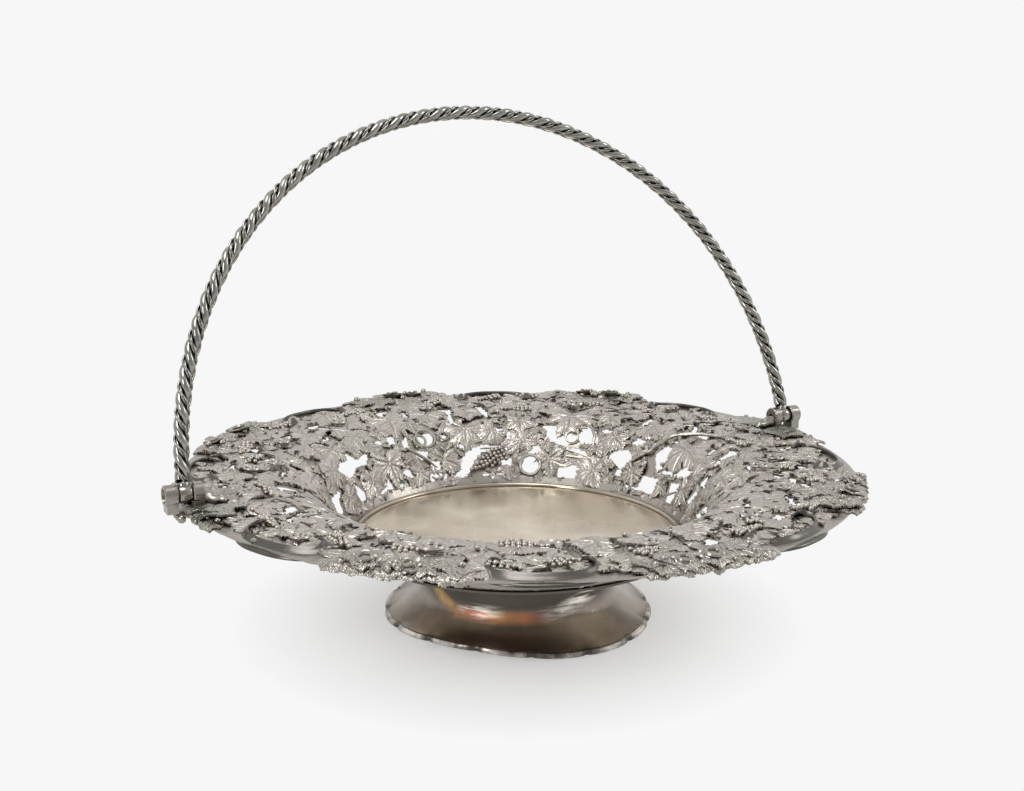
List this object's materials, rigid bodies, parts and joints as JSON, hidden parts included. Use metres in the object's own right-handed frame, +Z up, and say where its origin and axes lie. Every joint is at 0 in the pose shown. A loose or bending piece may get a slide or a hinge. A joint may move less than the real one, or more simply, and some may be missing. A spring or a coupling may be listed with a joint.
{
  "type": "cake basket",
  "caption": "Round silver cake basket with a pierced grapevine border, a lobed foot and a rope-twist swing handle hinged at the rim.",
  "frame": {"origin": "centre of the foot, on the table", "axes": "+Z up, +X along the handle's hinge axis, -Y towards the front of the picture"},
  "size_m": [0.3352, 0.328, 0.2384],
  "materials": {
    "foot_silver": "polished silver plate, toned brown-grey, with a faint rainbow tarnish at the crease",
    "well_silver": "polished silver plate with soft creases and a warm tone",
    "wire_silver": "polished half-round wire with a warm tone",
    "vine_silver": "cast and chased silver plate, grey with dark recesses",
    "scroll_silver": "polished silver plate",
    "cluster_silver": "cast and chased silver plate, grey with dark recesses",
    "hinge_silver": "cast silver plate",
    "pin_silver": "drawn wire, filed flush",
    "knuckle_silver": "turned silver plate",
    "rope_silver": "twisted drawn wire, toned dark in the grooves"
  },
  "bodies": {
    "basket": {"foot_edge": "foot_silver", "foot_skirt": "foot_silver", "foot_neck": "foot_silver", "dish_well": "well_silver", "well_ring": "wire_silver", "vine_panel_1": "vine_silver", "vine_panel_2": "vine_silver", "vine_panel_3": "vine_silver", "vine_panel_4": "vine_silver", "vine_panel_5": "vine_silver", "vine_panel_6": "vine_silver", "vine_panel_7": "vine_silver", "vine_panel_8": "vine_silver", "rim_scroll_1": "scroll_silver", "rim_scroll_2": "scroll_silver", "rim_scroll_3": "scroll_silver", "rim_scroll_4": "scroll_silver", "rim_scroll_5": "scroll_silver", "rim_scroll_6": "scroll_silver", "rim_scroll_7": "scroll_silver", "rim_scroll_8": "scroll_silver", "rim_cluster_2": "cluster_silver", "rim_cluster_3": "cluster_silver", "rim_cluster_4": "cluster_silver", "rim_cluster_6": "cluster_silver", "rim_cluster_7": "cluster_silver", "rim_cluster_8": "cluster_silver", "hinge_bracket_right": "hinge_silver", "hinge_bracket_left": "hinge_silver", "hinge_pin_right": "pin_silver", "hinge_pin_left": "pin_silver"},
    "handle": {"handle_knuckle_right": "knuckle_silver", "handle_knuckle_left": "knuckle_silver", "handle_strand_1": "rope_silver", "handle_strand_2": "rope_silver", "handle_cord_1": "rope_silver", "handle_cord_2": "rope_silver"}
  },
  "joints": [
    {"name": "handle_swing", "type": "hinge", "parent": "basket", "child": "handle", "pos_m": [0, 0, 0.07929], "axis": [1, 0, 0], "range_deg": [-63, 101]}
  ]
}
